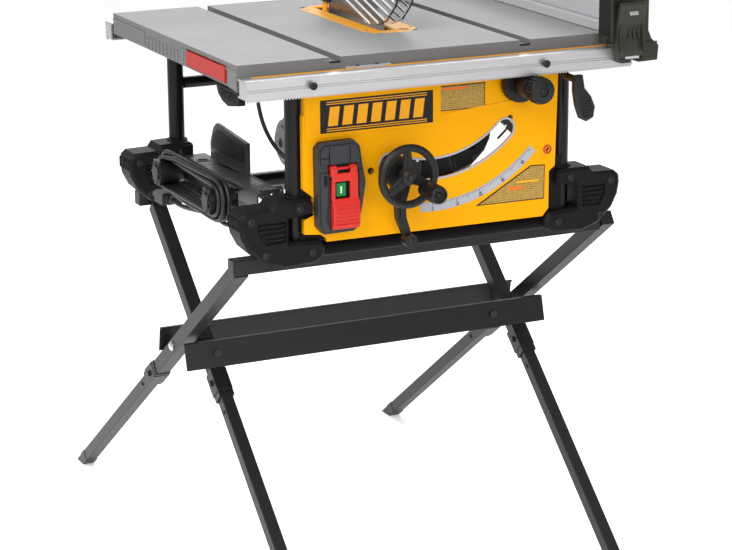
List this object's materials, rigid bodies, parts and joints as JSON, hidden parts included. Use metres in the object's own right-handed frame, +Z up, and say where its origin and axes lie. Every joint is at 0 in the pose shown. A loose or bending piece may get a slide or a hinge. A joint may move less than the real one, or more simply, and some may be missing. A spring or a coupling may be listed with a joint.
{
  "type": "table saw",
  "caption": "Portable table saw with sliding rip fence, tilting and rising blade, caged base and a folding crossed-leg stand.",
  "frame": {"origin": "on the floor under the middle of the object's outer box", "axes": "+X to the operator's right along the front, +Y away from the operator, +Z up"},
  "size_m": [0.7318, 1.0516, 1.078],
  "materials": {
    "cast_table": "ground cast surface, fine satin, light grey",
    "cast_gear_case": "rough die casting",
    "yellow_panel": "smooth satin gloss yellow",
    "yellow_plate": "smooth yellow paint",
    "aluminium_rail": "extruded, satin, lengthwise grain",
    "aluminium_fence": "extruded, satin",
    "motor_case": "die cast, satin",
    "black_tube": "black satin powder coat",
    "bumper_plastic": "charcoal, fine moulded grain",
    "black_plastic": "black moulded",
    "latch_plastic": "black, slightly glossy",
    "red_paddle": "red moulded",
    "red_stick": "red moulded",
    "green_button": "green moulded",
    "bright_steel": "zinc plated, bright",
    "blade_steel": "ground steel",
    "orange_guard": "orange yellow paint",
    "clear_guard": "clear moulded polycarbonate",
    "stand_paint": "charcoal powder coat",
    "cord_rubber": "black rubber"
  },
  "bodies": {
    "saw_frame": {"table_top": "cast_table", "throat_plate": "yellow_plate", "front_panel": "yellow_panel", "switch_housing": "black_plastic", "switch_cable": "cord_rubber", "post_front_left": "black_tube", "post_front_right": "black_tube", "post_rear_left": "black_tube", "post_rear_right": "black_tube", "front_tube": "black_tube", "rear_tube": "black_tube", "rear_cross_tube": "black_tube", "bumper_front_left": "bumper_plastic", "bumper_front_right": "bumper_plastic", "bumper_rear_left": "bumper_plastic", "bumper_rear_right": "bumper_plastic", "side_channel": "black_tube", "cord_bracket": "black_plastic", "cord_hank": "cord_rubber", "cord_lead": "cord_rubber", "strain_relief": "cord_rubber", "cord_plug": "cord_rubber"},
    "push_stick": {"push_stick": "red_stick"},
    "switch_paddle": {"switch_paddle": "red_paddle"},
    "start_button": {"start_button": "green_button"},
    "rails": {"front_rail": "aluminium_rail", "rear_rail": "aluminium_rail"},
    "rail_pinion": {"pinion_shaft": "black_plastic", "rail_knob": "black_plastic"},
    "rail_lock": {"rail_lock_lever": "black_plastic"},
    "fence": {"fence_beam": "aluminium_fence", "fence_head": "latch_plastic", "fence_tail": "latch_plastic"},
    "fence_latch_front": {"fence_latch_front": "latch_plastic"},
    "fence_latch_rear": {"fence_latch_rear": "latch_plastic"},
    "narrow_fence": {"narrow_fence": "black_plastic"},
    "bevel_carriage": {"blade_shroud": "black_plastic", "dust_port": "black_plastic", "tilt_plate": "black_plastic", "lift_guides": "black_plastic"},
    "lift_screw": {"lift_screw": "bright_steel"},
    "blade_lift": {"gear_case": "cast_gear_case", "motor": "motor_case", "riving_knife": "orange_guard"},
    "blade": {"saw_blade": "blade_steel", "arbor": "bright_steel"},
    "guard_arm": {"guard_arm": "orange_guard"},
    "guard_shield_left": {"guard_shield_left": "clear_guard"},
    "guard_shield_right": {"guard_shield_right": "clear_guard"},
    "height_wheel": {"height_wheel": "black_plastic"},
    "crank_handle": {"crank_handle": "black_plastic"},
    "bevel_lock": {"bevel_lock_lever": "black_plastic"},
    "stand_front": {"front_bar": "stand_paint", "leg_a": "stand_paint", "leg_c": "stand_paint", "rear_channel": "stand_paint"},
    "stand_rear": {"rear_bar": "stand_paint", "leg_b": "stand_paint", "leg_d": "stand_paint", "front_channel": "stand_paint"}
  },
  "joints": [
    {"name": "push_stick_slide", "type": "slide", "parent": "saw_frame", "child": "push_stick", "axis": [-1, 0, 0], "range_m": [0, 0.04]},
    {"name": "paddle_hinge", "type": "hinge", "parent": "saw_frame", "child": "switch_paddle", "pos_m": [-0.18095, -0.42918, 0.771], "axis": [-1, 0, 0], "range_deg": [0, 50]},
    {"name": "start_press", "type": "slide", "parent": "saw_frame", "child": "start_button", "axis": [0, 1, 0], "range_m": [0, 0.003], "stiffness_N_per_m": 300},
    {"name": "rail_slide", "type": "slide", "parent": "saw_frame", "child": "rails", "axis": [1, 0, 0], "range_m": [0, 0.28]},
    {"name": "pinion_spin", "type": "hinge", "parent": "saw_frame", "child": "rail_pinion", "pos_m": [0.13705, -0.44018, 0.879], "axis": [0, 1, 0], "range_deg": [-1, 804]},
    {"name": "rail_lock_hinge", "type": "hinge", "parent": "saw_frame", "child": "rail_lock", "pos_m": [0.22705, -0.44018, 0.882], "axis": [0, 1, 0], "range_deg": [0, 70]},
    {"name": "fence_lift", "type": "slide", "parent": "rails", "child": "fence", "axis": [0, 0, 1], "range_m": [0, 0.06]},
    {"name": "latch_front_hinge", "type": "hinge", "parent": "fence", "child": "fence_latch_front", "pos_m": [0.29305, -0.50818, 0.927], "axis": [1, 0, 0], "range_deg": [0, 65]},
    {"name": "latch_rear_hinge", "type": "hinge", "parent": "fence", "child": "fence_latch_rear", "pos_m": [0.29305, 0.18282, 0.927], "axis": [-1, 0, 0], "range_deg": [0, 65]},
    {"name": "narrow_fence_flip", "type": "hinge", "parent": "fence", "child": "narrow_fence", "pos_m": [0.33905, -0.15018, 1.01], "axis": [0, -1, 0], "range_deg": [0, 90]},
    {"name": "bevel_tilt", "type": "hinge", "parent": "saw_frame", "child": "bevel_carriage", "pos_m": [-0.01295, -0.16118, 0.94], "axis": [0, -1, 0], "range_deg": [0, 45]},
    {"name": "blade_height", "type": "slide", "parent": "bevel_carriage", "child": "blade_lift", "axis": [0, 0, 1], "range_m": [-0.077, 0]},
    {"name": "screw_spin", "type": "hinge", "parent": "bevel_carriage", "child": "lift_screw", "pos_m": [-0.08745, -0.27018, 0.802], "axis": [0, 0, 1], "range_deg": [-1104, 1]},
    {"name": "wheel_spin", "type": "hinge", "parent": "bevel_carriage", "child": "height_wheel", "pos_m": [-0.08745, -0.47518, 0.757], "axis": [0, 1, 0], "range_deg": [-1104, 1]},
    {"name": "crank_spin", "type": "hinge", "parent": "height_wheel", "child": "crank_handle", "pos_m": [-0.05593, -0.50018, 0.73237], "axis": [0, 1, 0], "continuous": true},
    {"name": "bevel_lock_hinge", "type": "hinge", "parent": "bevel_carriage", "child": "bevel_lock", "pos_m": [-0.08745, -0.44418, 0.757], "axis": [0, -1, 0], "range_deg": [0, 50]},
    {"name": "blade_spin", "type": "hinge", "parent": "blade_lift", "child": "blade", "pos_m": [-0.01295, -0.12418, 0.902], "axis": [1, 0, 0], "continuous": true},
    {"name": "guard_arm_hinge", "type": "hinge", "parent": "blade_lift", "child": "guard_arm", "pos_m": [-0.01295, -0.00018, 1.044], "axis": [-1, 0, 0], "range_deg": [-1, 30]},
    {"name": "left_shield_hinge", "type": "hinge", "parent": "guard_arm", "child": "guard_shield_left", "pos_m": [-0.02695, -0.00018, 1.044], "axis": [-1, 0, 0], "range_deg": [0, 10]},
    {"name": "right_shield_hinge", "type": "hinge", "parent": "guard_arm", "child": "guard_shield_right", "pos_m": [0.00105, -0.00018, 1.044], "axis": [-1, 0, 0], "range_deg": [0, 35]},
    {"name": "stand_fold", "type": "hinge", "parent": "saw_frame", "child": "stand_front", "pos_m": [0.00805, -0.34218, 0.606], "axis": [1, 0, 0], "range_deg": [-44, 0]},
    {"name": "stand_cross", "type": "hinge", "parent": "stand_front", "child": "stand_rear", "pos_m": [0.00805, -0.05622, 0.40188], "axis": [1, 0, 0], "range_deg": [0, 82.1]}
  ],
  "couplings": [
    {"joint": "pinion_spin", "follows": "rail_slide", "rad_per_m": 50},
    {"joint": "screw_spin", "follows": "blade_height", "rad_per_m": 250},
    {"joint": "wheel_spin", "follows": "blade_height", "rad_per_m": 250},
    {"joint": "guard_arm_hinge", "follows": "blade_height", "rad_per_m": -6.57},
    {"joint": "left_shield_hinge", "follows": "bevel_tilt", "ratio": 0.178},
    {"joint": "stand_cross", "follows": "stand_fold", "ratio": -1.8636}
  ]
}
